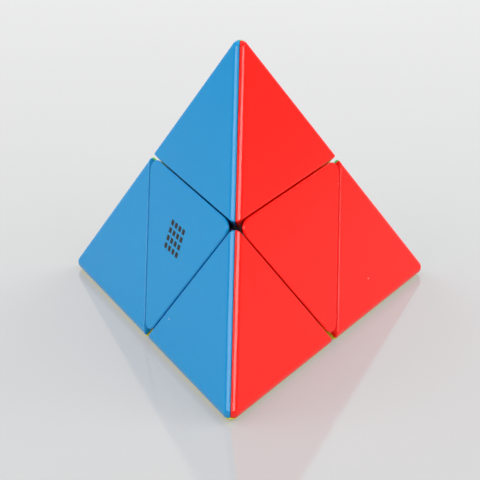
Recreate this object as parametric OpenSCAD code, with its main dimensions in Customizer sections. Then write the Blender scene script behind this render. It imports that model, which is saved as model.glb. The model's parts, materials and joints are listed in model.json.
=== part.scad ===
// Pyramid twisty puzzle with two layers on each of three crossed axes.
//
// The outer pieces are the eight octants of a tetrahedron, cut by three planes that
// cross at its centre: four corner pieces and four single-coloured centre pieces.
// A hidden ball of feet, edges and centres holds them. It is sliced a little to each side
// of the middle planes, so that three of its centres stay with the core and the base.
//
// Pieces are drawn in the mechanism's own axes u, v, w, which leave through the middles
// of the front, right and left edges, and in_row_frame() stands the result on its base.

/* [Overall] */
// Length of an edge of the pyramid, measured to its sharp corners
edge_len = 76; // [74:1:84]
// Radius of the rounding along the outer edges and round the tips
edge_round = 1.6; // [1:0.1:2]
// Clearance between pieces that turn past each other
gap = 0.3; // [0.2:0.05:0.4]

/* [Shells] */
// Wall thickness of the coloured shells and caps
wall = 1.5; // [1.2:0.1:1.7]
// Radius that rounds a corner piece along the turning axes
corner_end_round = 1.4; // [1:0.1:1.8]
// Radius that rounds a centre cap along the turning axes
cap_end_round = 2.2; // [1.6:0.1:2.4]
// Radius of the pegs that join shells and caps to their frames
peg_r = 1.3; // [1:0.1:1.5]

/* [Mechanism] */
// Radius of the hidden ball
ball_r = 12.8; // [12.6:0.1:13]
// Radius of the step between the feet and the heads
step_r = 9; // [8.8:0.1:9.2]
// Radius of the core
core_r = 5; // [4.8:0.1:5.2]
// Half thickness of the hidden slices at the feet
foot_slice = 2.6; // [2.5:0.1:2.7]
// Half thickness of the hidden slices at the heads
head_slice = 4; // [3.9:0.1:4.2]
// Shank radius of the screws
screw_r = 1; // [0.9:0.05:1.1]
// Wire thickness of the tension springs
wire = 0.35; // [0.25:0.05:0.4]

/* [Hidden] */
$fn = 64;
far = 200;              // larger than the whole puzzle
half_gap = gap / 2;
fit_gap = 0.1;          // clearance where two pieces plug together
seam = 0.1;             // hairline between two shells of one corner
hub_r = 4.2;
stalk_r = 3.2;
fin = 1.4;              // thickness of a corner frame's fins
fin_start = 0.6;        // how far they start from the line through the tip
post_r = 1.6;           // post along that line, which the fins grow from
lap = 1;                // how deep two solids of one piece reach into each other
peg_fit = 0.05;         // clearance round a peg
peg_stop = 2;           // from a hub's middle to the end of a shell's peg
peg_in = 2;             // how deep a cap's pegs reach into its frame
arm_r = 2.2;            // arms of the core
arm_end = 6.3;
seat = 7.4;             // where a spring starts, from the core's centre
head_base = 11.5;       // underside of a screw's head
head_r = 2.2;
head_h = 1.1;
head_fit = 0.2;         // clearance round and under a screw's head
slot = [2.4, 0.5, 1.2]; // one bar of the cross in a screw's head
screw_tip = 3.2;        // from the core's centre to the points of the screws
anchor_tip = 1.8;       // and to the point of the screw through the base
pilot_extra = 0.2;      // how far a pilot hole reaches past its screw
spring_r = 1.4;         // mean radius of a spring
pilot_r = screw_r + 0.02;
foot_top = ball_r + 0.4;
spring_turns = 5;
turn_steps = 8;
spring_play = 0.05;     // between a spring's ends and what they press on
plug_r = 8.8;           // furthest a centre's plug reaches from its middle
plug_in = 5.9;          // how far its three flat sides are from its middle
peg_at = 0.55;          // where a cap's pegs are, as a share of the way to each end

reach = edge_len / (2 * sqrt(2));   // from the centre to the middle of an edge
rest_h = reach / sqrt(3);           // from the centre to a face
round_c = reach - sqrt(3) * edge_round;
hub_at = reach * sqrt(3) / 2;       // from the centre to a corner frame's hub
post_top = hub_at + 9;
fin_top = post_top + 1;

axis_u = [0, -sqrt(2 / 3), sqrt(1 / 3)];
axis_v = [sqrt(1 / 2), sqrt(1 / 6), sqrt(1 / 3)];
axis_w = [-sqrt(1 / 2), sqrt(1 / 6), sqrt(1 / 3)];

blue = "#2f9ad8";
red = "#f4261f";
green = "#3fc43a";
yellow = "#f2e02a";
black = "#1b1b1d";

// ---- Placing ----

// Stands the mechanism's axes on the base face, with the tip straight above it
module in_row_frame()
    multmatrix([
        [axis_u.x, axis_v.x, axis_w.x, 0],
        [axis_u.y, axis_v.y, axis_w.y, 0],
        [axis_u.z, axis_v.z, axis_w.z, rest_h],
        [0, 0, 0, 1]
    ]) children();

// Moves u to v, v to w and w to u, n times
module cycle(n) rotate(a = 120 * n, v = [1, 1, 1]) children();

module on_front() rotate([180, 0, 0]) children();
module on_right() rotate([0, 180, 0]) children();
module on_left() rotate([0, 0, 180]) children();

// Turns +Z to point along a direction
module aim(d) rotate([0, acos(d.z / norm(d)), atan2(d.y, d.x)]) children();

// ---- Building blocks ----

// Everything on the inner side of the plane at a distance from the centre
module inside_plane(normal, distance)
    aim(normal) translate([-far / 2, -far / 2, distance - far]) cube([far, far, far]);

module outside_ball(r)
    difference() {
        cube(far, center = true);
        sphere(r);
    }

// All three coordinates above a
module octant_above(a) translate([a, a, a]) cube(far / 2);

// Outline of an outer edge of the tetrahedron, seen along that edge
module rounded_wedge() {
    touch_x = round_c + edge_round / sqrt(3);
    touch_y = edge_round * sqrt(2 / 3);
    polygon([
        [touch_x, touch_y], [touch_x - far, touch_y + far / sqrt(2)],
        [touch_x - far, -touch_y - far / sqrt(2)], [touch_x, -touch_y]
    ]);
    translate([round_c, 0]) circle(edge_round);
}

// The wedge between the two faces that meet in the edge across the u axis
module edge_wedge()
    rotate([-45, 0, 0]) linear_extrude(far, center = true) rounded_wedge();

// What the ball-shaped tip leaves out
module tip_waste()
    difference() {
        intersection() {
            translate(round_c * [1, 1, 1]) inside_plane([0, -1, -1], 0);
            translate(round_c * [1, 1, 1]) inside_plane([-1, 0, -1], 0);
            translate(round_c * [1, 1, 1]) inside_plane([-1, -1, 0], 0);
        }
        translate(round_c * [1, 1, 1]) sphere(edge_round);
    }

// What rounding by r removes along the u axis
module end_waste(r, a)
    difference() {
        translate([-far / 4, a - far / 2, a - far / 2]) cube([far, far / 2 + r, far / 2 + r]);
        translate([0, a + r, a + r]) rotate([0, 90, 0]) cylinder(h = far, r = r, center = true);
    }

// ---- Corner pieces, drawn for the tip ----

// A corner piece with sharp edges, all of its sides moved in by an inset
module corner_block(inset)
    intersection() {
        octant_above(half_gap + inset);
        inside_plane([1, 1, -1], rest_h - inset);
        inside_plane([1, -1, 1], rest_h - inset);
        inside_plane([-1, 1, 1], rest_h - inset);
    }

module corner_outline()
    difference() {
        intersection() {
            octant_above(half_gap);
            edge_wedge();
            cycle(1) edge_wedge();
            cycle(2) edge_wedge();
        }
        tip_waste();
        for (n = [0:2]) cycle(n) end_waste(corner_end_round, half_gap);
    }

// The shell whose outer face looks along u + v - w, with its half of two rounded edges
module corner_shell(hue) {
    face_mid = reach / 3 * [2, 2, 1];
    hub_off = reach / (2 * sqrt(3));
    color(hue) {
        intersection() {
            difference() {
                corner_outline();
                corner_block(wall);
                sphere(ball_r + half_gap);
            }
            inside_plane([-1, 0, 1], -seam / 2);
            inside_plane([0, -1, 1], -seam / 2);
        }
        translate(face_mid) aim([-1, -1, 1])
            translate([0, 0, wall / 2]) cylinder(h = hub_off - peg_stop - wall / 2, r = peg_r);
    }
}

// A foot that neighbours in the ball hold down: wide below the step, narrow above it
module foot()
    intersection() {
        union() {
            intersection() {
                octant_above(foot_slice + half_gap);
                sphere(step_r - half_gap);
            }
            octant_above(head_slice + half_gap);
        }
        outside_ball(core_r + half_gap);
        sphere(foot_top);
    }

// A plate behind the seam of the edge across the u axis, starting inside the post
module frame_fin()
    intersection() {
        corner_block(wall + fit_gap);
        outside_ball(ball_r + half_gap);
        rotate([-45, 0, 0]) translate([-far / 2, -fin / 2, -far / 2]) cube([far, fin, far]);
        inside_plane([-2, 1, 1], -fin_start);
        inside_plane([1, 1, 1], fin_top);
    }

module corner_frame()
    color(black) difference() {
        union() {
            foot();
            aim([1, 1, 1]) {
                translate([0, 0, ball_r - lap]) {
                    cylinder(h = hub_at - ball_r + lap, r = stalk_r);
                    cylinder(h = post_top - ball_r + lap, r = post_r);
                }
                translate([0, 0, hub_at]) sphere(hub_r);
            }
            for (n = [0:2]) cycle(n) frame_fin();
        }
        for (n = [0:2]) cycle(n) translate(reach / 2 * [1, 1, 1]) aim([1, 1, -1])
            translate([0, 0, peg_stop - fit_gap]) cylinder(h = hub_r + fin, r = peg_r + peg_fit);
    }

// ---- Centre pieces, drawn for the octant above the centre and turned over ----

module centre_block(inset)
    intersection() {
        octant_above(half_gap + inset);
        inside_plane([1, 1, 1], rest_h - inset);
    }

// Three places on the cap's face, looking inwards, each part of the way to one end
module at_pegs()
    for (n = [0:2]) cycle(n)
        translate(reach * [peg_at, (1 - peg_at) / 2, (1 - peg_at) / 2])
            aim([-1, -1, -1]) children();

// To the opposite octant, which no turn of the mechanism reaches. Only for shapes that are
// their own mirror images.
module mirror_through_centre()
    mirror([1, 0, 0]) mirror([0, 1, 0]) mirror([0, 0, 1]) children();

module centre_cap(hue)
    color(hue) mirror_through_centre() {
        difference() {
            centre_block(0);
            centre_block(wall);
            sphere(ball_r + half_gap);
            for (n = [0:2]) cycle(n) end_waste(cap_end_round, half_gap);
        }
        at_pegs() translate([0, 0, wall / 2]) cylinder(h = wall / 2 + peg_in, r = peg_r);
    }

// Fills the middle of a cap, no wider than the cap's opening towards the ball
module centre_plug()
    difference() {
        intersection() {
            centre_block(wall + fit_gap);
            outside_ball(ball_r + half_gap);
            plug_sides();
            aim([1, 1, 1]) cylinder(h = far, r = plug_r);
        }
        at_pegs() cylinder(h = wall + peg_in + fit_gap, r = peg_r + peg_fit);
    }

// Three sides that keep a plug clear of the cap's own walls
module plug_sides()
    intersection() {
        inside_plane([-2, 1, 1], plug_in);
        inside_plane([1, -2, 1], plug_in);
        inside_plane([1, 1, -2], plug_in);
    }

module centre_frame()
    color(black) mirror_through_centre() {
        foot();
        centre_plug();
    }

// ---- Hidden ball ----

// A hidden edge between the +u and +v centres
module hidden_edge()
    color(black) intersection() {
        union() {
            slice_corner(foot_slice, step_r - half_gap);
            difference() {
                slice_corner(head_slice, ball_r - half_gap);
                sphere(step_r + half_gap);
            }
            intersection() {
                slice_corner(head_slice, ball_r - half_gap);
                translate([0, 0, -foot_slice + half_gap])
                    cube([far, far, 2 * (foot_slice - half_gap)]);
            }
        }
        outside_ball(core_r + half_gap);
    }

// The part of a ball above a slice in u and v, and within the slice in w
module slice_corner(slice, r)
    intersection() {
        translate([slice + half_gap, slice + half_gap, -slice + half_gap])
            cube([far, far, 2 * (slice - half_gap)]);
        sphere(r);
    }

// A square column along u, half as wide as a slice, from a radius out to another
module centre_column(slice, r)
    intersection() {
        translate([0, -slice + half_gap, -slice + half_gap])
            cube([far, 2 * (slice - half_gap), 2 * (slice - half_gap)]);
        sphere(r);
    }

// A centre on the u axis, with its spring chamber and the pocket for the screw's head
module hidden_centre()
    color(black) difference() {
        union() {
            centre_column(foot_slice, ball_r - half_gap);
            difference() {
                centre_column(head_slice, ball_r - half_gap);
                sphere(step_r + half_gap);
            }
        }
        cube([2 * (arm_end + fit_gap), far, far], center = true);
        along_u() cylinder(h = far, r = screw_r + fit_gap);
        along_u() translate([0, 0, seat]) cylinder(h = far, r = spring_r + wire);
        along_u() translate([0, 0, head_base - head_fit]) cylinder(h = far, r = head_r + head_fit);
    }

module along_u() rotate([0, 90, 0]) children();

// A ball with six arms that the centres sit on, drilled for the screws
module core()
    color(black) difference() {
        union() {
            sphere(core_r);
            for (n = [0:2]) cycle(n) along_u() cylinder(h = 2 * arm_end, r = arm_r, center = true);
        }
        for (n = [0:2], side = [0, 180]) cycle(n) rotate([0, 0, side]) along_u()
            translate([0, 0, screw_tip - pilot_extra]) cylinder(h = far, r = pilot_r);
        mirror_through_centre() aim([1, 1, 1])
            translate([0, 0, anchor_tip - pilot_extra]) cylinder(h = far, r = pilot_r);
    }

// The base centre's frame in one with the three lower hidden edges, drawn above the centre
module base_anchor()
    color(black) mirror_through_centre() difference() {
        union() {
            centre_plug();
            foot();
            for (n = [0:2]) cycle(n) {
                anchor_wing(foot_slice, foot_slice, core_r + half_gap, step_r - half_gap);
                anchor_wing(head_slice, head_slice, step_r + half_gap, ball_r - half_gap);
                anchor_wing(head_slice, foot_slice, step_r - lap, step_r + lap);
            }
        }
        aim([1, 1, 1]) cylinder(h = far, r = screw_r + fit_gap);
        aim([1, 1, 1]) translate([0, 0, head_base]) cylinder(h = far, r = head_r + head_fit);
    }

// The lower edge between u and v in one with the foot, between two radii: it starts a
// slice from u and v and ends on the far side of w's slice
module anchor_wing(slice, slice_w, from_r, to_r)
    intersection() {
        translate([slice + half_gap, slice + half_gap, -slice_w + half_gap]) cube(far / 2);
        outside_ball(from_r);
        sphere(to_r);
    }

// ---- Fasteners and springs ----

// A screw along +Z whose head sits at head_base and whose point is at tip_at
module screw(tip_at)
    difference() {
        union() {
            translate([0, 0, tip_at]) cylinder(h = head_base - tip_at, r = screw_r);
            translate([0, 0, head_base]) cylinder(h = head_h, r = head_r);
        }
        for (turn = [0, 90]) rotate(turn) translate([0, 0, head_base + head_h])
            cube(slot, center = true);
    }

module screws()
    color("silver") for (n = [0:2], side = [0, 180]) cycle(n)
        rotate([0, 0, side]) along_u() screw(screw_tip);

module anchor_screw() color("silver") mirror_through_centre() aim([1, 1, 1])
    screw(anchor_tip);

// A coil spring along +Z between the seat and a screw's head
module spring() {
    rings = spring_turns * turn_steps;
    sides = 4;
    rise = head_base - seat - wire - 2 * spring_play;
    wire_at = function (i) [
        spring_r * cos(360 * spring_turns * i / rings),
        spring_r * sin(360 * spring_turns * i / rings),
        seat + wire / 2 + spring_play + rise * i / rings
    ];
    points = [for (i = [0:rings], k = [0:sides - 1])
        let (turn = 360 * spring_turns * i / rings, c = wire_at(i))
        c + wire / 2 * [
            cos(360 * k / sides) * cos(turn), cos(360 * k / sides) * sin(turn),
            sin(360 * k / sides)
        ]];
    tube = [for (i = [0:rings - 1], k = [0:sides - 1])
        [i * sides + k, i * sides + (k + 1) % sides,
         (i + 1) * sides + (k + 1) % sides, (i + 1) * sides + k]];
    start_cap = [[for (k = [sides - 1:-1:0]) k]];
    end_cap = [[for (k = [0:sides - 1]) rings * sides + k]];
    polyhedron(points, concat(tube, start_cap, end_cap), convexity = 8);
}

module springs()
    color("silver") for (n = [0:2], side = [0, 180]) cycle(n)
        rotate([0, 0, side]) along_u() spring();

// ---- Nodes ----

in_row_frame() {
    core();
    base_anchor();
    centre_cap(yellow);  // base_cap_yellow
    screws();
    springs();
    anchor_screw();

    on_left() hidden_centre();  // locked_centre_back
    on_left() cycle(1) hidden_centre();  // locked_centre_front_left
    on_front() cycle(2) hidden_centre();  // locked_centre_front_right
    hidden_centre();  // turning_centre_front
    cycle(1) hidden_centre();  // turning_centre_right
    cycle(2) hidden_centre();  // turning_centre_left

    on_front() hidden_edge();  // hidden_edge_front_left
    on_front() cycle(2) hidden_edge();  // hidden_edge_front_right
    on_right() hidden_edge();  // hidden_edge_back_right
    on_right() cycle(1) hidden_edge();  // hidden_edge_right
    on_left() cycle(2) hidden_edge();  // hidden_edge_back_left
    on_left() cycle(1) hidden_edge();  // hidden_edge_left
    hidden_edge();  // hidden_edge_top_right
    cycle(2) hidden_edge();  // hidden_edge_top_left
    cycle(1) hidden_edge();  // hidden_edge_top_back

    corner_frame();  // apex_frame
    cycle(1) corner_shell(green);  // apex_shell_green
    cycle(2) corner_shell(blue);  // apex_shell_blue
    corner_shell(red);  // apex_shell_red

    on_front() corner_frame();  // front_frame
    on_front() cycle(1) corner_shell(yellow);  // front_shell_yellow
    on_front() cycle(2) corner_shell(red);  // front_shell_red
    on_front() corner_shell(blue);  // front_shell_blue

    on_right() corner_frame();  // right_frame
    on_right() cycle(1) corner_shell(red);  // right_shell_red
    on_right() cycle(2) corner_shell(yellow);  // right_shell_yellow
    on_right() corner_shell(green);  // right_shell_green

    on_left() corner_frame();  // left_frame
    on_left() cycle(1) corner_shell(blue);  // left_shell_blue
    on_left() cycle(2) corner_shell(green);  // left_shell_green
    on_left() corner_shell(yellow);  // left_shell_yellow

    on_left() centre_frame();  // red_centre_frame
    on_left() centre_cap(red);  // red_centre_cap
    on_right() centre_frame();  // blue_centre_frame
    on_right() centre_cap(blue);  // blue_centre_cap
    on_front() centre_frame();  // green_centre_frame
    on_front() centre_cap(green);  // green_centre_cap
}
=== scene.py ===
"""Looks of the pyramid twisty puzzle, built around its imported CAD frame.

The twelve corner shells and four centre caps are rebuilt here with moulded fillets. The
hidden ball, the frames, the screws and the springs are the CAD nodes themselves.
Pieces are built in millimetres along the mechanism's axes u, v and w, and placed() turns
them into the row frame's metres.
"""

import json
import math

import bmesh
import bpy
from mathutils import Matrix, Vector

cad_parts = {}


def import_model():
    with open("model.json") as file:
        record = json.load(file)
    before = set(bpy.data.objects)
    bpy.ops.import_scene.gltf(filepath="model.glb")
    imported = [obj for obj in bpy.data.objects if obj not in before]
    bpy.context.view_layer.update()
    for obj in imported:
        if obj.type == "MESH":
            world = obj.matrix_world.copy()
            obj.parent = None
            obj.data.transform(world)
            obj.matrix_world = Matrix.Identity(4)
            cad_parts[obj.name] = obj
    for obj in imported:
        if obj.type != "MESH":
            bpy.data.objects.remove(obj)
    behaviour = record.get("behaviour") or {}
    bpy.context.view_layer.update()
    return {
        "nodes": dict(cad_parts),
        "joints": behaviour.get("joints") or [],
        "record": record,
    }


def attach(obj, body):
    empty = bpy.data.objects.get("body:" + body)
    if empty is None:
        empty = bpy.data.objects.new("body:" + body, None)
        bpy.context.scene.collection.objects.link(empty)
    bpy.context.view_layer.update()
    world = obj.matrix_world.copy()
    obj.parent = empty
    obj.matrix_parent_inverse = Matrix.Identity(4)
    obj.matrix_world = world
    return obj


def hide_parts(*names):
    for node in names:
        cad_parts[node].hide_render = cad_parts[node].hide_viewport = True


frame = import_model()

MM = 0.001

# ---- The mechanism, from the frame ----

joints = {joint["name"]: joint for joint in frame["joints"]}
centre = Vector(joints["front_turn"]["pos_m"])
axes = [Vector(joints[name]["axis"]) for name in ("front_turn", "right_turn", "left_turn")]
reach = centre.z / MM * math.sqrt(3)  # from the centre to the middle of an edge

# ---- Sizes in millimetres ----

HALF_GAP = 0.09  # from a cut plane to a piece
HALF_SEAM = 0.05  # from a corner's seam plane to a shell
WALL = 1.5
BALL_R = 12.95  # what the shells leave free for the hidden ball
EDGE_R = 1.6  # rounding of the outer edges and tips
SHELL_END_R = 1.5  # rounding of a corner piece along the turning axes
CAP_END_R = 2.6  # rounding of a centre cap along the turning axes
SHELL_FILLET = 0.28  # along a corner piece's cut edges
CAP_FILLET = 0.33  # along a cap's cut edges
SEAM_FILLET = 0.1
PEG_R = 1.3
PEG_STOP = 2  # from the middle of a corner's hub to the end of a peg
MARK_COUNT = 4  # squares along a side of the printed mark
MARK_PITCH = 1.6
MARK_SQUARE = 1.05
MARK_PROUD = 0.01
MARK_SUNK = 0.05

# ---- Worked out from them ----

round_middle = reach - math.sqrt(3) * EDGE_R  # along each axis, the edge rounding's middle
inner_reach = reach - math.sqrt(3) * WALL  # where a face's inner side meets an axis
inner_wall = HALF_GAP + WALL  # from a cut plane to a wall's inner side
seam_side = HALF_SEAM + SEAM_FILLET  # from a seam plane to the foot of its fillet
inner_seam = HALF_SEAM * math.sqrt(2)  # the seam's clearance along an axis
hub_depth = reach / (2 * math.sqrt(3))  # from a shell's face to the middle of the hub

# ---- Steps of the curved stretches ----

EDGE_STEPS = 10
FILLET_STEPS = 8
SEAM_STEPS = 2
END_STEPS = 10
ARC_STEPS = 24
PEG_STEPS = 24

TANGENT = math.acos(1 / math.sqrt(3))  # from an edge's ridge to the face beside it
SAME_DIRECTION = 1e-6  # radians, below which two directions count as one
ROUNDING_ERROR = 1e-9
SHARP_ANGLE = math.radians(40)
FLATS_RULE = 100  # the weighting at which the largest faces alone set a corner's normal

# ---- Symmetry ----

CYCLE = Matrix(((0, 0, 1), (1, 0, 0), (0, 1, 0)))  # takes u to v, v to w and w to u
THROUGH_CENTRE = Matrix.Diagonal((-1, -1, -1))
HALF_TURNS = {
    "apex": Matrix.Identity(3),
    "front": Matrix.Diagonal((1, -1, -1)),
    "right": Matrix.Diagonal((-1, 1, -1)),
    "left": Matrix.Diagonal((-1, -1, 1)),
}


def cycled(n):
    """The turn that takes u to v to w, n times."""
    turn = Matrix.Identity(3)
    for _ in range(n):
        turn = CYCLE @ turn
    return turn


def placed(symmetry):
    """From millimetres along u, v and w, through a symmetry, to the row frame's metres."""
    to_row = Matrix(axes).transposed()
    return Matrix.Translation(centre) @ (to_row @ symmetry * MM).to_4x4()


def slerp(a, b, t):
    """From unit vector a to unit vector b along the arc between them."""
    angle = a.angle(b)
    if angle < SAME_DIRECTION:
        return a.copy()
    return (a * math.sin((1 - t) * angle) + b * math.sin(t * angle)) / math.sin(angle)


def slerp_row(a, b, steps):
    """The directions from a to b, both included."""
    return [slerp(a, b, t / steps) for t in range(steps + 1)]


# ---- A mesh that is put together point by point ----


class Piece:
    """Collects points and faces, then becomes an object."""

    def __init__(self):
        self.points = []
        self.faces = []

    def point(self, co):
        self.points.append(Vector(co))
        return len(self.points) - 1

    def row(self, cos):
        return [self.point(co) for co in cos]

    def face(self, *corners):
        """A face over the corners, without those that repeat the one before."""
        ring = [corner for i, corner in enumerate(corners) if corner != corners[i - 1]]
        if len(ring) > 2:
            self.faces.append(ring)

    def strip(self, row_a, row_b):
        """Quads between two rows of equally many points."""
        for i in range(len(row_a) - 1):
            self.face(row_a[i], row_a[i + 1], row_b[i + 1], row_b[i])

    def strips(self, rows):
        for row_a, row_b in zip(rows, rows[1:]):
            self.strip(row_a, row_b)

    def tube(self, low, high):
        """Quads between two closed rings of equally many points."""
        for i in range(len(low)):
            self.face(low[i - 1], low[i], high[i], high[i - 1])

    def stitch(self, row_a, row_b):
        """Triangles between two rows of unequal counts, always taking the shorter step."""
        i = j = 0
        while i < len(row_a) - 1 or j < len(row_b) - 1:
            if self.step_length(row_a, i, row_b[j]) < self.step_length(row_b, j, row_a[i]):
                self.face(row_a[i], row_a[i + 1], row_b[j])
                i += 1
            else:
                self.face(row_a[i], row_b[j + 1], row_b[j])
                j += 1

    def step_length(self, row, at, opposite):
        """From the next point of a row to a point of the other row."""
        if at == len(row) - 1:
            return math.inf
        return (self.points[row[at + 1]] - self.points[opposite]).length

    def peg(self, corners, foot, along, length):
        """Fills the flat triangle of the given corners round a peg that stands on it."""
        side = along.orthogonal().normalized()
        other = along.cross(side)
        ring = [
            foot + (side * math.cos(a) + other * math.sin(a)) * PEG_R
            for a in (2 * math.pi * k / PEG_STEPS for k in range(PEG_STEPS))
        ]
        base = self.row(ring)
        top = self.row([co + along * length for co in ring])
        nearest = [min(corners, key=lambda c: (self.points[c] - co).length) for co in ring]
        self.tube(base, top)
        self.tube(nearest, base)
        self.face(*top)

    def build(self, name, symmetry):
        """The object, with its normals outwards."""
        mesh = bpy.data.meshes.new(name)
        mesh.from_pydata([list(p) for p in self.points], [], self.faces)
        mesh.transform(placed(symmetry))
        bm = bmesh.new()
        bm.from_mesh(mesh)
        bmesh.ops.recalc_face_normals(bm, faces=bm.faces)
        if bm.calc_volume(signed=True) < 0:
            bmesh.ops.reverse_faces(bm, faces=bm.faces)
        bm.to_mesh(mesh)
        bm.free()
        piece = bpy.data.objects.new(name, mesh)
        bpy.context.scene.collection.objects.link(piece)
        smooth(piece)
        return piece


def smooth(piece):
    """Smooth shading whose flats stay flat, because large faces rule their corners."""
    for polygon in piece.data.polygons:
        polygon.use_smooth = True
    piece.data.set_sharp_from_angle(angle=SHARP_ANGLE)
    weighted = piece.modifiers.new("weighted_normals", "WEIGHTED_NORMAL")
    weighted.keep_sharp = True
    weighted.weight = FLATS_RULE


def on_ball(v, w):
    """Where a line along u leaves the space for the hidden ball."""
    return Vector((math.sqrt(BALL_R**2 - v * v - w * w), v, w))


def ball_arc(w, from_v):
    """Points on the ball at a height w, from v = from_v round to u = from_v."""
    r = math.sqrt(BALL_R**2 - w * w)
    low = math.asin(from_v / r)
    high = math.pi / 2 - low
    angles = [low + (high - low) * k / ARC_STEPS for k in range(ARC_STEPS + 1)]
    return [Vector((r * math.cos(a), r * math.sin(a), w)) for a in angles]


# ---- Corner shells ----

# A shell lies between two cut edges. Side 0 is the one across u, and side 1, across v, is its
# mirror image in the plane u = v. Both are worked out as side 0, and seen() mirrors side 1.


def swap_uv(co):
    return Vector((co[1], co[0], co[2]))


def seen(co, side):
    return swap_uv(co) if side else co


def edge_normal(beta):
    """On the edge across u, at an angle from its ridge towards the face u + v - w."""
    lateral = math.sin(beta) / math.sqrt(2)
    return Vector((math.cos(beta), lateral, -lateral))


def shell_stations():
    """Angles from the ridge, starting beside the seam, where a corner shell has rows.

    At one of them, whose place in the list comes second, the rounded end becomes flat.
    """
    first = math.asin((HALF_SEAM + SEAM_FILLET) / EDGE_R)
    betas = [first + (TANGENT - first) * k / EDGE_STEPS for k in range(EDGE_STEPS + 1)]
    flat_from = math.asin((SHELL_END_R - SHELL_FILLET) / math.sqrt(2) / (EDGE_R - SHELL_FILLET))
    flat_at = min(range(1, EDGE_STEPS), key=lambda k: abs(betas[k] - flat_from))
    betas[flat_at] = flat_from
    return betas, flat_at


def shell_station(beta):
    """The ball that rolls along the cut edge, at a row: its centre and both normals."""
    lateral = (EDGE_R - SHELL_FILLET) * math.sin(beta)
    inner = SHELL_END_R - SHELL_FILLET
    middle = HALF_GAP + SHELL_END_R
    if lateral < inner / math.sqrt(2) - ROUNDING_ERROR:
        psi = math.acos(lateral / inner) - math.pi / 4
        wall_normal = Vector((0, -math.sin(psi), -math.cos(psi)))
        v, w = middle - inner * math.sin(psi), middle - inner * math.cos(psi)
    else:
        wall_normal = Vector((0, 0, -1))
        w = HALF_GAP + SHELL_FILLET
        v = w + lateral * math.sqrt(2)
    u = round_middle + (EDGE_R - SHELL_FILLET) * math.cos(beta)
    return Vector((u, v, w)), wall_normal, edge_normal(beta)


def to_lateral(co, lateral):
    """Moves a point square to the seam plane v = w, to a distance from it."""
    step = lateral - (co[1] - co[2]) / math.sqrt(2)
    return co + Vector((0, 1, -1)) * (step / math.sqrt(2))


def cut_side(piece, stations, flat_at, side):
    """A cut edge's fillet, as rows from the wall outwards, and the foot of its round wall."""
    arcs = [
        [middle + normal * SHELL_FILLET for normal in slerp_row(wall_normal, outer, FILLET_STEPS)]
        for middle, wall_normal, outer in stations
    ]
    arcs[0] = [to_lateral(co, seam_side) for co in arcs[0]]
    rows = [piece.row([seen(co, side) for co in arc]) for arc in arcs]
    piece.strips(rows)
    round_wall = slice(flat_at + 1)
    feet = piece.row([seen(on_ball(arc[0].y, arc[0].z), side) for arc in arcs[round_wall]])
    piece.strip([row[0] for row in rows[round_wall]], feet)
    return rows, feet


def tip_patch(piece, betas):
    """The shell's part of the ball at the tip, as rows from the face to side 0's seam."""
    shares = [1 - (beta - betas[0]) / (TANGENT - betas[0]) for beta in reversed(betas)]
    # Where both seams' fillets start, the unit normal is (t, t, t - delta)
    delta = math.sqrt(2) * seam_side / EDGE_R
    t = (2 * delta + math.sqrt(12 - 8 * delta**2)) / 6
    tip_normal = Vector((t, t, t - delta))
    face_normal, u_normal = edge_normal(TANGENT), edge_normal(betas[0])
    normals = []
    for share in shares:
        start = slerp(face_normal, u_normal, share)
        end = slerp(swap_uv(u_normal), tip_normal, share)
        normals.append([slerp(start, end, s) for s in shares])
    tip_middle = Vector((1, 1, 1)) * round_middle
    rows = [piece.row([tip_middle + normal * EDGE_R for normal in line]) for line in normals]
    for i in rows[-1]:
        piece.points[i] = to_lateral(piece.points[i], seam_side)
    for i in [row[-1] for row in rows]:
        piece.points[i] = swap_uv(to_lateral(swap_uv(piece.points[i]), seam_side))
    piece.strips(rows)
    return rows, normals


def seam_wall(piece, border, normals, side, other_seam):
    """A seam's fillet, as rows inwards from its border, which ends in the flat wall's rim.

    The border starts at the tip, and the first point of each row belongs to both seams.
    """
    off_one = seen(Vector((0, -1, 1)) / math.sqrt(2), side)
    off_both = Vector((-1, -1, 2)) * (math.sqrt(2) / 3)
    rows = [border]
    for n in range(1, SEAM_STEPS + 1):
        angle = math.pi / 2 * n / SEAM_STEPS
        row = [other_seam[n][0]] if other_seam else []
        for at in range(len(row), len(border)):
            shift = off_one if at else off_both
            co = piece.points[border[at]] - normals[at] * (SEAM_FILLET * (1 - math.cos(angle)))
            row.append(piece.point(co + shift * (SEAM_FILLET * math.sin(angle))))
        rows.append(row)
    piece.strips(rows)
    return rows


def shell_seams(piece, station, arcs, feet, tip, tip_normals):
    """Both seams of a shell, each as the rows of its fillet."""
    _, wall_normal, outer = station
    fillet = slerp_row(wall_normal, outer, FILLET_STEPS)
    seams = []
    for side in (0, 1):
        line = [row[-1] for row in tip] if side else tip[-1]
        line_normals = [row[-1] for row in tip_normals] if side else tip_normals[-1]
        border = line[::-1] + arcs[side][0][::-1] + [feet[side][0]]
        normals = line_normals[::-1] + [seen(n, side) for n in fillet[::-1] + [wall_normal]]
        seams.append(seam_wall(piece, border, normals, side, seams[0] if side else None))
    return seams


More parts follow.
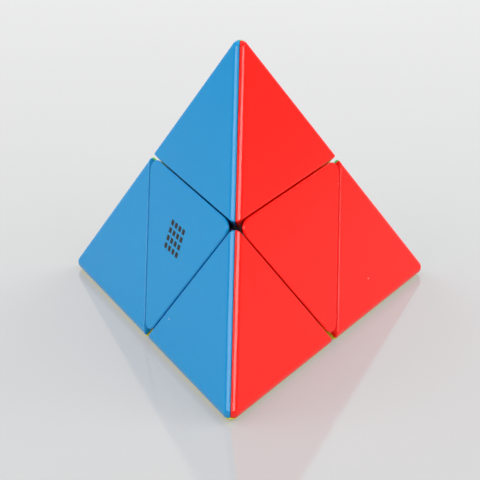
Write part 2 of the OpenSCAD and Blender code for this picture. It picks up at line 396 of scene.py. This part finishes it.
def shell_inside(piece, flat_at, arcs, feet, seams):
    """The walls' inner side: a sharp-edged offset of the outer one, with a peg."""
    face_normal = edge_normal(TANGENT)
    tip_w = inner_reach - 2 * inner_seam
    inner_tip = piece.point((tip_w + inner_seam, tip_w + inner_seam, tip_w))
    inner_u = piece.point((inner_reach - inner_seam, inner_wall + inner_seam, inner_wall))
    inner_v = piece.point((inner_wall + inner_seam, inner_reach - inner_seam, inner_wall))
    peg_foot = Vector((2, 2, 1)) * (reach / 3) - face_normal * WALL
    peg_length = hub_depth - PEG_STOP - WALL
    piece.peg((inner_tip, inner_v, inner_u), peg_foot, -face_normal, peg_length)

    flat_arc = piece.row(ball_arc(HALF_GAP, HALF_GAP + SHELL_END_R)[1:-1])
    flat_arc = [feet[0][flat_at]] + flat_arc + [feet[1][flat_at]]
    inner_arc = piece.row(ball_arc(inner_wall, inner_wall + inner_seam))
    edge_u, edge_v = [[row[0] for row in rows[flat_at:]] for rows in arcs]
    piece.face(*flat_arc, *edge_v, *edge_u[::-1])
    piece.face(inner_u, *inner_arc, inner_v)

    end_u, end_v = [[row[-1] for row in rows] for rows in seams]
    rim = end_u[::-1] + feet[0][1:flat_at] + flat_arc + feet[1][1:flat_at][::-1] + end_v
    piece.stitch(rim, inner_arc)
    piece.face(*seams[0][-1], inner_arc[0], inner_u, inner_tip)
    piece.face(*seams[1][-1], inner_arc[-1], inner_v, inner_tip)


def corner_shell():
    """The shell whose outer face looks along u + v - w, of the corner at the tip."""
    piece = Piece()
    betas, flat_at = shell_stations()
    stations = [shell_station(beta) for beta in betas]
    arcs, feet = zip(*[cut_side(piece, stations, flat_at, side) for side in (0, 1)])
    piece.strip(arcs[0][-1], arcs[1][-1])
    tip, tip_normals = tip_patch(piece, betas)
    # Edge roundings from each cut to the tip, and the flat between them
    piece.strip([row[-1] for row in arcs[0]], [row[0] for row in reversed(tip)])
    piece.strip([row[-1] for row in arcs[1]], tip[0][::-1])
    piece.face(arcs[0][-1][-1], arcs[1][-1][-1], tip[0][0])
    seams = shell_seams(piece, stations[0], arcs, feet, tip, tip_normals)
    shell_inside(piece, flat_at, arcs, feet, seams)
    return piece


# ---- Centre caps ----


def cap_end(piece, turn):
    """The rounded end along an axis: its fillet's rows from the wall outwards, and its foot."""
    face_normal = Vector((1, 1, 1)).normalized()
    inner = CAP_END_R - CAP_FILLET
    middle = HALF_GAP + CAP_END_R
    rows, feet = [], []
    for k in range(END_STEPS + 1):
        psi = math.pi / 2 * k / END_STEPS
        normal = Vector((0, -math.sin(psi), -math.cos(psi)))
        v, w = middle + inner * normal.y, middle + inner * normal.z
        ball = Vector((reach - math.sqrt(3) * CAP_FILLET - v - w, v, w))
        arc = [ball + n * CAP_FILLET for n in slerp_row(normal, face_normal, FILLET_STEPS)]
        rows.append(piece.row([turn @ co for co in arc]))
        feet.append(piece.point(turn @ on_ball(arc[0].y, arc[0].z)))
    piece.strips(rows)
    piece.strip([row[0] for row in rows], feet)
    return rows, feet


def centre_cap():
    """The cap of the octant above the centre, whose face looks along u + v + w."""
    piece = Piece()
    turns = [cycled(n) for n in range(3)]
    ends = [cap_end(piece, turn) for turn in turns]
    piece.face(*[row[-1] for rows, _ in ends for row in reversed(rows)])

    inner_end = Vector((inner_reach - 2 * inner_wall, inner_wall, inner_wall))
    inner_ends = piece.row([turn @ inner_end for turn in turns])
    inner_feet = piece.row([turn @ on_ball(inner_wall, inner_wall) for turn in turns])
    piece.face(*inner_ends)
    rim, inner_rim = [], []
    for n, turn in enumerate(turns):
        # The wall at w = half the gap lies between the u end and the v end
        after = (n + 1) % 3
        rows, feet = ends[n]
        next_rows, next_feet = ends[after]
        arc = piece.row([turn @ co for co in ball_arc(HALF_GAP, HALF_GAP + CAP_END_R)[1:-1]])
        piece.face(rows[0][0], next_rows[-1][0], next_feet[-1], *reversed(arc), feet[0])
        piece.strip(rows[0], next_rows[-1])
        rim += feet[::-1] + arc
        inner_arc = piece.row([turn @ co for co in ball_arc(inner_wall, inner_wall)[1:-1]])
        inner_rim += [inner_feet[n]] + inner_arc
        piece.face(inner_ends[n], inner_feet[n], *inner_arc, inner_feet[after], inner_ends[after])
    start = rim.index(ends[0][1][END_STEPS // 2])
    rim = rim[start:] + rim[:start]
    piece.stitch(rim + rim[:1], inner_rim + inner_rim[:1])
    return piece


def cap_mark():
    """A plain printed grid of small squares, upright on the face."""
    piece = Piece()
    normal = Vector((1, 1, 1)).normalized()
    middle = Vector((1, 1, 1)) * (reach / 3)
    up = Vector((1, -2, 1)).normalized()
    across = up.cross(normal)
    steps = [(n - (MARK_COUNT - 1) / 2) * MARK_PITCH for n in range(MARK_COUNT)]
    half = MARK_SQUARE / 2
    for x in steps:
        for y in steps:
            square = [
                middle + across * (x + i * half) + up * (y + j * half)
                for i, j in ((-1, -1), (1, -1), (1, 1), (-1, 1))
            ]
            low = piece.row([co - normal * MARK_SUNK for co in square])
            high = piece.row([co + normal * MARK_PROUD for co in square])
            piece.face(*low)
            piece.face(*high)
            piece.tube(low, high)
    return piece


# ---- Materials ----


class Look:
    """A Principled material with short ways to wire nodes. Noise scales are per metre."""

    def __init__(self, name):
        self.material = bpy.data.materials.new(name)
        self.material.use_nodes = True
        self.nodes = self.material.node_tree.nodes
        self.links = self.material.node_tree.links
        self.shader = self.nodes["Principled BSDF"]
        self.coordinates = self.nodes.new("ShaderNodeTexCoord").outputs["Object"]

    def give(self, socket, value):
        """Links an output to a socket, or sets the socket to a plain value."""
        if hasattr(value, "is_output"):
            self.links.new(value, socket)
        else:
            socket.default_value = value

    def shade(self, **values):
        """Gives the shader's sockets values, by their names with _ for a space."""
        for name, value in values.items():
            self.give(self.shader.inputs[name.replace("_", " ")], value)

    def noise(self, scale, detail=2.0, at=None):
        texture = self.nodes.new("ShaderNodeTexNoise")
        self.give(texture.inputs["Vector"], at or self.coordinates)
        self.give(texture.inputs["Scale"], scale)
        self.give(texture.inputs["Detail"], detail)
        return texture.outputs["Fac"]

    def mapping(self, kind="POINT", **values):
        mapped = self.nodes.new("ShaderNodeMapping")
        mapped.vector_type = kind
        self.give(mapped.inputs["Vector"], self.coordinates)
        for name, value in values.items():
            self.give(mapped.inputs[name], value)
        return mapped.outputs["Vector"]

    def ramp(self, value, *stops):
        """Maps a value through (position, grey) stops."""
        mapped = self.nodes.new("ShaderNodeValToRGB")
        for element, (position, grey) in zip(mapped.color_ramp.elements, stops):
            element.position = position
            element.color = (grey, grey, grey, 1)
        self.give(mapped.inputs["Fac"], value)
        return mapped.outputs["Color"]

    def mix(self, factor, a, b, blend="MIX"):
        mixer = self.nodes.new("ShaderNodeMix")
        mixer.data_type = "RGBA"
        mixer.blend_type = blend
        for name, value in (("Factor", factor), ("A", a), ("B", b)):
            self.give(mixer.inputs[name], value)
        return mixer.outputs["Result"]

    def between(self, value, low, high):
        """Spreads a value from 0 to 1 over another range."""
        spread = self.nodes.new("ShaderNodeMapRange")
        self.give(spread.inputs["Value"], value)
        self.give(spread.inputs["To Min"], low)
        self.give(spread.inputs["To Max"], high)
        return spread.outputs["Result"]

    def bump(self, height, strength, distance):
        bump = self.nodes.new("ShaderNodeBump")
        self.give(bump.inputs["Strength"], strength)
        self.give(bump.inputs["Distance"], distance)
        self.give(bump.inputs["Height"], height)
        return bump.outputs["Normal"]


def dust(look):
    """1 on rare specks of dust, 0 elsewhere: the dots of a few cells of a Voronoi texture."""
    cells = look.nodes.new("ShaderNodeTexVoronoi")
    look.give(cells.inputs["Vector"], look.coordinates)
    look.give(cells.inputs["Scale"], 160)
    dots = look.ramp(cells.outputs["Distance"], (0.02, 1), (0.035, 0))
    cell_values = look.nodes.new("ShaderNodeSeparateColor")
    look.give(cell_values.inputs["Color"], cells.outputs["Color"])
    few = look.ramp(cell_values.outputs["Red"], (0.78, 0), (0.9, 1))
    return look.mix(1.0, dots, few, "MULTIPLY")


def glossy_plastic(name, colour, deep):
    """Glossy moulded plastic, coloured through, with dust specks and hair scratches."""
    look = Look(name)
    clouds = look.ramp(look.noise(scale=28), (0.3, 0), (0.7, 1))
    tint = look.mix(clouds, (*colour, 1), (*deep, 1))
    pale = tuple(0.45 + 0.55 * c for c in colour)
    along_hairs = look.mapping(Scale=(900, 60, 260), Rotation=(0.4, 0.7, 1.1))
    hairs = look.ramp(look.noise(scale=1.0, detail=4, at=along_hairs), (0.66, 0), (0.72, 1))
    relief = look.mix(0.35, look.noise(scale=260, detail=1), hairs)
    look.shade(
        Base_Color=look.mix(dust(look), tint, (*pale, 1)),
        Roughness=look.between(look.noise(scale=90, detail=3), 0.13, 0.21),
        Normal=look.bump(relief, strength=0.01, distance=0.0001),
        IOR=1.5,
        Subsurface_Weight=0.3,
        Subsurface_Radius=[c / max(colour) for c in colour],
        Subsurface_Scale=0.0008,
    )
    return look.material


def satin_black(name, grey, roughness):
    """Black moulded plastic with a fine spark-eroded grain."""
    look = Look(name)
    look.shade(
        Base_Color=look.ramp(look.noise(scale=120), (0.3, grey), (0.8, grey * 1.8)),
        Roughness=roughness,
        Normal=look.bump(look.noise(scale=2400, detail=3), strength=0.2, distance=0.00005),
    )
    return look.material


def plated_steel(name):
    """Zinc-plated steel with fine drawing lines."""
    look = Look(name)
    streaks = look.noise(scale=1500, detail=4)
    look.shade(
        Base_Color=look.ramp(streaks, (0.3, 0.42), (0.7, 0.6)),
        Roughness=look.between(streaks, 0.22, 0.4),
        Metallic=1.0,
    )
    return look.material


MATERIALS = {
    "blue": glossy_plastic("blue_plastic", (0.001, 0.27, 0.575), (0.001, 0.26, 0.56)),
    "red": glossy_plastic("red_plastic", (0.95, 0.009, 0.002), (0.93, 0.008, 0.001)),
    "green": glossy_plastic("green_plastic", (0.07, 0.55, 0.05), (0.065, 0.53, 0.045)),
    "yellow": glossy_plastic("yellow_plastic", (0.80, 0.78, 0.03), (0.78, 0.75, 0.025)),
    "black": satin_black("black_plastic", 0.008, 0.35),
    "black_nylon": satin_black("black_nylon", 0.012, 0.5),
    "steel": plated_steel("plated_steel"),
}


def wear(piece, slot):
    """Gives a new piece a slot's material."""
    piece.data.materials.clear()
    piece.data.materials.append(MATERIALS[slot])


slots = {part["node"]: part["material_slot"] for part in frame["record"]["subparts"]}
for node, cad in frame["nodes"].items():
    cad.data.materials.clear()
    cad.data.materials.append(MATERIALS[slots[node]])

# ---- The shells and caps in place ----

# Each corner's shells, in the order in which cycled() turns the first one
CORNER_COLOURS = {
    "apex": ("red", "green", "blue"),
    "front": ("blue", "yellow", "red"),
    "right": ("green", "red", "yellow"),
    "left": ("yellow", "blue", "green"),
}
CORNER_BODIES = {
    "apex": "apex",
    "front": "front_layer",
    "right": "right_layer",
    "left": "left_layer",
}
# Each cap's colour, with its half turn, its body and the node that it replaces
CAPS = {
    "yellow": ("apex", "base", "base_cap_yellow"),
    "green": ("front", "green_centre", "green_centre_cap"),
    "blue": ("right", "blue_centre", "blue_centre_cap"),
    "red": ("left", "red_centre", "red_centre_cap"),
}

shell_shape = corner_shell()
for corner, colours in CORNER_COLOURS.items():
    for n, colour in enumerate(colours):
        node = f"{corner}_shell_{colour}"
        piece = shell_shape.build(f"{node}_moulded", HALF_TURNS[corner] @ cycled(n))
        wear(piece, colour)
        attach(piece, CORNER_BODIES[corner])
        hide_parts(node)

cap_shape = centre_cap()
for colour, (corner, body, node) in CAPS.items():
    piece = cap_shape.build(f"{colour}_cap_moulded", HALF_TURNS[corner] @ THROUGH_CENTRE)
    wear(piece, colour)
    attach(piece, body)
    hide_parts(node)

corner, body, _ = CAPS["blue"]
mark = cap_mark().build("blue_cap_mark", HALF_TURNS[corner] @ THROUGH_CENTRE)
wear(mark, "black")
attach(mark, body)

# ---- Floor, light and camera, in metres ----

FLOOR_HALF = 3.0
FLOOR_DROP = 0.00002  # below the object, so that no two faces coincide
PAINTED_GLOW_R = 0.7  # where the floor's painted glow stops falling
PAINTED_GLOW_BACK = 0.25  # from the object to the middle of the painted glow
LAMP_AIM = (0, 0, 0.03)
BACK_AIM = (0, 0, 0.02)


def floor():
    """A white acrylic table with a painted glow: its emission stands in for light from below,
    brightest behind the object.
    """
    corners = [(x * FLOOR_HALF, y * FLOOR_HALF, 0) for x, y in ((-1, -1), (1, -1), (1, 1), (-1, 1))]
    mesh = bpy.data.meshes.new("floor")
    mesh.from_pydata(corners, [], [(0, 1, 2, 3)])
    plate = bpy.data.objects.new("floor", mesh)
    plate.location.z = -FLOOR_DROP
    bpy.context.scene.collection.objects.link(plate)
    look = Look("white_acrylic_painted_glow")
    painted_glow_spot = look.nodes.new("ShaderNodeTexGradient")
    painted_glow_spot.gradient_type = "SPHERICAL"
    around_painted_glow = look.mapping("TEXTURE", Location=(0, PAINTED_GLOW_BACK, 0), Scale=(PAINTED_GLOW_R,) * 3)
    look.give(painted_glow_spot.inputs["Vector"], around_painted_glow)
    look.shade(
        Base_Color=look.ramp(look.noise(scale=8), (0.3, 0.25), (0.7, 0.26)),
        # Painted glow: emission that lightens the floor and its shadows, brightest behind the
        # object and falling off around it
        Emission_Color=look.ramp(painted_glow_spot.outputs["Fac"], (0.0, 0.145), (1.0, 0.305)),
        Emission_Strength=1.0,
        Roughness=0.08,
    )
    mesh.materials.append(look.material)


def softbox(name, place, target, size, watts, mirrored=True):
    """A rectangular lamp. One that isn't mirrored lights things but shows in no gloss."""
    light = bpy.data.lights.new(name, "AREA")
    light.shape = "RECTANGLE"
    light.size, light.size_y = size
    light.energy = watts
    lamp = bpy.data.objects.new(name, light)
    lamp.location = place
    lamp.rotation_euler = (Vector(target) - Vector(place)).to_track_quat("-Z", "Y").to_euler()
    lamp.visible_glossy = mirrored
    bpy.context.scene.collection.objects.link(lamp)


def world(strength):
    """A slightly bluish white room."""
    surround = bpy.data.worlds.new("studio")
    surround.use_nodes = True
    background = surround.node_tree.nodes["Background"]
    background.inputs["Color"].default_value = (0.93, 0.94, 1.0, 1)
    background.inputs["Strength"].default_value = strength
    bpy.context.scene.world = surround


def camera(azimuth, elevation, distance, target, roll, lens):
    """Looks at the target from a distance, down by the elevation, turned by the roll."""
    view = bpy.data.objects.new("camera", bpy.data.cameras.new("camera"))
    towards = Vector((
        math.sin(azimuth) * math.cos(elevation),
        math.cos(azimuth) * math.cos(elevation),
        -math.sin(elevation),
    ))
    aim = towards.to_track_quat("-Z", "Y").to_matrix() @ Matrix.Rotation(roll, 3, "Z")
    place = Vector(target) - towards * distance
    view.matrix_world = Matrix.Translation(place) @ aim.to_4x4()
    view.data.lens = lens
    view.data.clip_start = 0.01
    bpy.context.scene.collection.objects.link(view)
    bpy.context.scene.camera = view


floor()
world(0.285)
softbox("strip_left", (-0.52, -0.45, 0.44), LAMP_AIM, (0.74, 0.36), 3.2)
softbox("strip_right", (0.54, -0.42, 0.44), LAMP_AIM, (0.55, 0.28), 2.8)
softbox("side_left", (-0.78, 0.25, 0.62), LAMP_AIM, (0.7, 0.6), 4.9, mirrored=False)
softbox("side_right", (0.78, 0.25, 0.62), LAMP_AIM, (0.7, 0.6), 6.0, mirrored=False)
softbox("overhead", (0, 0.05, 0.9), BACK_AIM, (0.8, 0.6), 1.2)
softbox("rear", (-0.05, 1.0, 0.55), BACK_AIM, (1.6, 0.8), 4.6)
camera(
    azimuth=math.radians(-3.73),
    elevation=math.radians(26.44),
    distance=0.4146,
    target=(-0.0005, 0, 0.017),
    roll=math.radians(-0.76),
    lens=158.3,
)
# Plain sRGB, which keeps the plastics' full colour
bpy.context.scene.view_settings.view_transform = "Standard"
